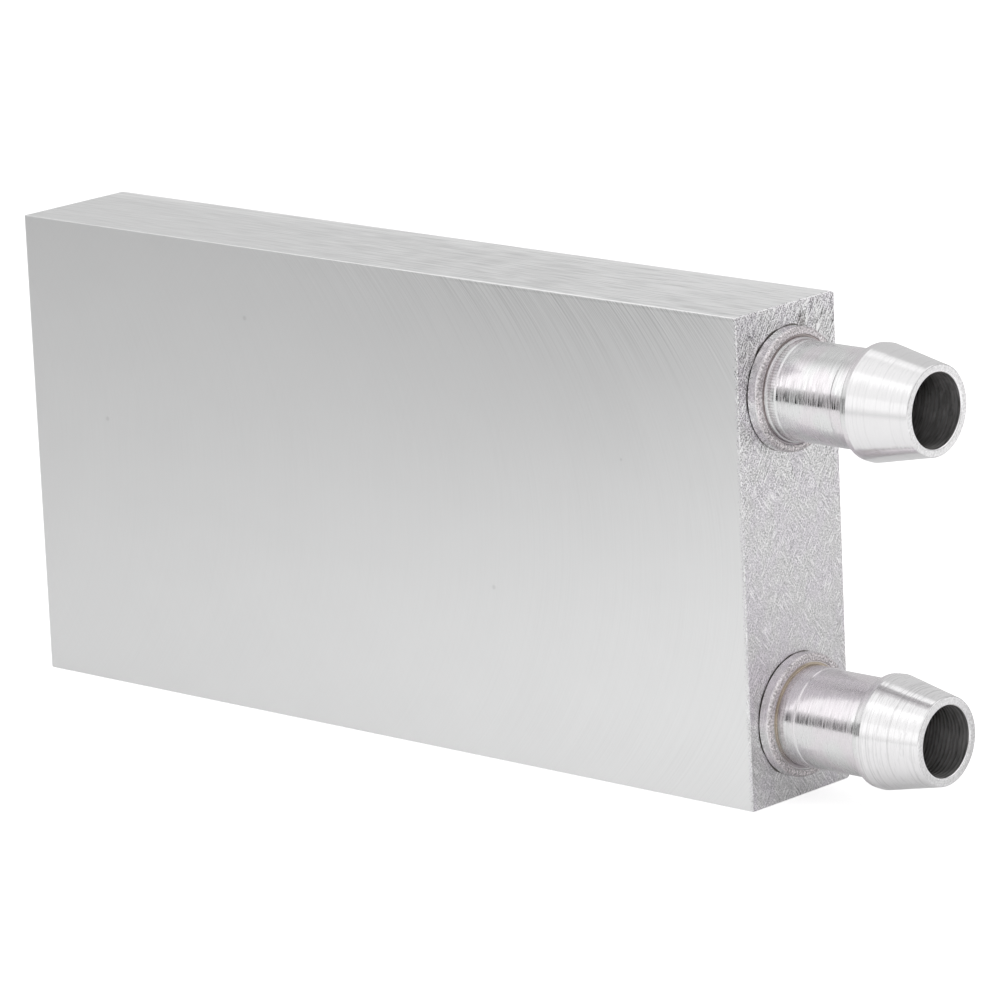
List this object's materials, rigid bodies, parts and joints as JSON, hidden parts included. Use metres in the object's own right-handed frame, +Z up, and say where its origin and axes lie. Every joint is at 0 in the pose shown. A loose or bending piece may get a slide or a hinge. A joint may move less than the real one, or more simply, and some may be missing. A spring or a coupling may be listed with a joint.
{
  "type": "liquid cooling cold plate",
  "caption": "Flat aluminium liquid cooling plate with finned inner channels and barbed hose nozzles on one end.",
  "frame": {"origin": "middle of the long narrow side that the plate stands on", "axes": "+X along the plate towards the nozzles, +Y through the thickness, +Z up across the width"},
  "size_m": [0.095, 0.012, 0.04],
  "materials": {
    "plate_aluminium": "fly-cut satin",
    "plug_aluminium": "sanded",
    "nozzle_aluminium": "turned, bright"
  },
  "bodies": {
    "root": {"extruded_body": "plate_aluminium", "port_end_plug": "plug_aluminium", "return_end_plug": "plug_aluminium", "upper_hose_nozzle": "nozzle_aluminium", "lower_hose_nozzle": "nozzle_aluminium"}
  },
  "joints": []
}
